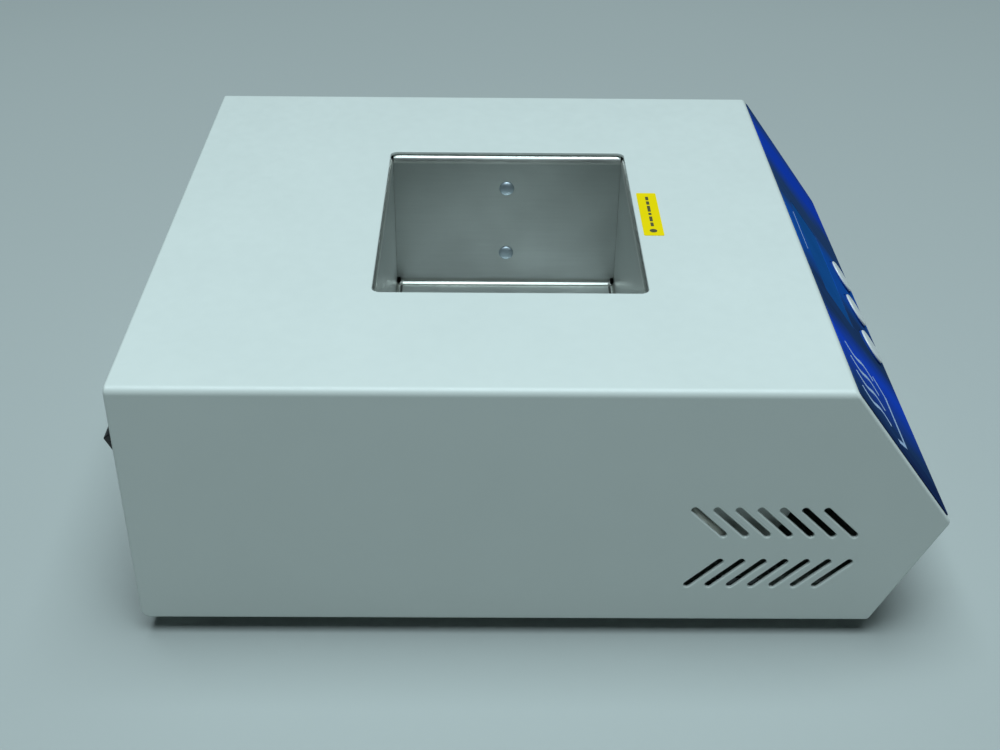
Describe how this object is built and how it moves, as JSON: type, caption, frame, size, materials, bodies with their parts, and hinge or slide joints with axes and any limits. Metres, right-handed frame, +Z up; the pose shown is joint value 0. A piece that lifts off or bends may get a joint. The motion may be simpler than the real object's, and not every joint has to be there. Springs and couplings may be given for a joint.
{
  "type": "single-block dry heater",
  "caption": "Bench dry-bath heater: folded sheet-metal housing with an empty heated well for one tube block, sloped key panel, rear mains switch and inlet.",
  "frame": {"origin": "on the table under the centre of the whole object's box", "axes": "+Z up from the feet, -Y towards the control panel and its user, +X to the user's right"},
  "size_m": [0.2, 0.2359, 0.0861],
  "materials": {
    "paint": "off-white powder coat, satin, with a fine orange-peel texture",
    "well_metal": "bright rolled sheet, faintly brushed, reflective",
    "aluminium": "machined or extruded, satin",
    "steel": "bright nickel-plated fasteners",
    "zinc_plate": "zinc-plated steel sheet",
    "rubber": "matt black moulded rubber",
    "black_plastic": "black moulded nylon, fine spark-eroded texture",
    "rocker_plastic": "black moulded plastic, slightly glossy",
    "component_plastic": "black component plastic",
    "overlay": "blue printed polycarbonate sheet, glossy",
    "window": "dark tinted clear window",
    "key_plastic": "pearl-white moulded keys",
    "label": null,
    "circuit_board": "green solder mask",
    "insulation": "off-white ceramic fibre and glass sleeve",
    "silicone": "orange-red silicone heater mat",
    "glass": "clear glass tube fuse",
    "copper": "enamelled winding on a laminated core"
  },
  "bodies": {
    "housing": {"top_cover": "paint", "base_pan": "paint", "front_panel": "paint", "rear_panel": "paint", "cover_bracket_1": "zinc_plate", "cover_bracket_2": "zinc_plate", "cover_bracket_3": "zinc_plate", "cover_bracket_4": "zinc_plate", "cover_screw_1": "steel", "cover_screw_2": "steel", "cover_screw_3": "steel", "cover_screw_4": "steel", "foot_1": "rubber", "foot_2": "rubber", "foot_3": "rubber", "foot_4": "rubber", "foot_screw_1": "steel", "foot_screw_2": "steel", "foot_screw_3": "steel", "foot_screw_4": "steel", "rear_panel_screw_1": "steel", "rear_panel_screw_2": "steel", "front_panel_screw_1": "steel", "front_panel_screw_2": "steel", "caution_label": "label", "well_liner": "well_metal", "well_rivet_upper": "steel", "well_rivet_lower": "steel", "sensor_clamp": "zinc_plate", "temperature_probe": "steel", "heater_plate": "aluminium", "heater_mat": "silicone", "heater_clamp_plate": "zinc_plate", "insulation_base": "insulation", "thermal_cutout": "component_plastic", "insulation_jacket": "insulation", "heater_bracket_rear": "zinc_plate", "heater_bracket_front": "zinc_plate", "heat_baffle": "zinc_plate", "front_overlay": "overlay", "display_window": "window", "lcd_module": "component_plastic", "control_board": "circuit_board", "board_standoff_1": "steel", "board_standoff_2": "steel", "board_standoff_3": "steel", "board_standoff_4": "steel", "switch_body": "black_plastic", "power_inlet": "black_plastic", "power_board": "circuit_board", "transformer": "copper", "triac_heatsink": "aluminium", "heater_lead": "insulation", "control_cable": "component_plastic"},
    "key_left": {"button_left": "key_plastic"},
    "key_middle": {"button_middle": "key_plastic"},
    "key_right": {"button_right": "key_plastic"},
    "rocker": {"switch_rocker": "rocker_plastic"},
    "fuse_carrier": {"fuse_drawer": "black_plastic", "fuse": "glass"}
  },
  "joints": [
    {"name": "press_left", "type": "slide", "parent": "housing", "child": "key_left", "axis": [0, 0.8011, -0.5985], "range_m": [0, 0.0008], "stiffness_N_per_m": 500, "springref_m": -0.0008},
    {"name": "press_middle", "type": "slide", "parent": "housing", "child": "key_middle", "axis": [0, 0.8011, -0.5985], "range_m": [0, 0.0008], "stiffness_N_per_m": 500, "springref_m": -0.0008},
    {"name": "press_right", "type": "slide", "parent": "housing", "child": "key_right", "axis": [0, 0.8011, -0.5985], "range_m": [0, 0.0008], "stiffness_N_per_m": 500, "springref_m": -0.0008},
    {"name": "power_rocker", "type": "hinge", "parent": "housing", "child": "rocker", "pos_m": [-0.077, 0.11177, 0.0508], "axis": [1, 0, 0], "range_deg": [0, 20]},
    {"name": "fuse_drawer_slide", "type": "slide", "parent": "housing", "child": "fuse_carrier", "axis": [0, 1, 0], "range_m": [0, 0.008]}
  ]
}
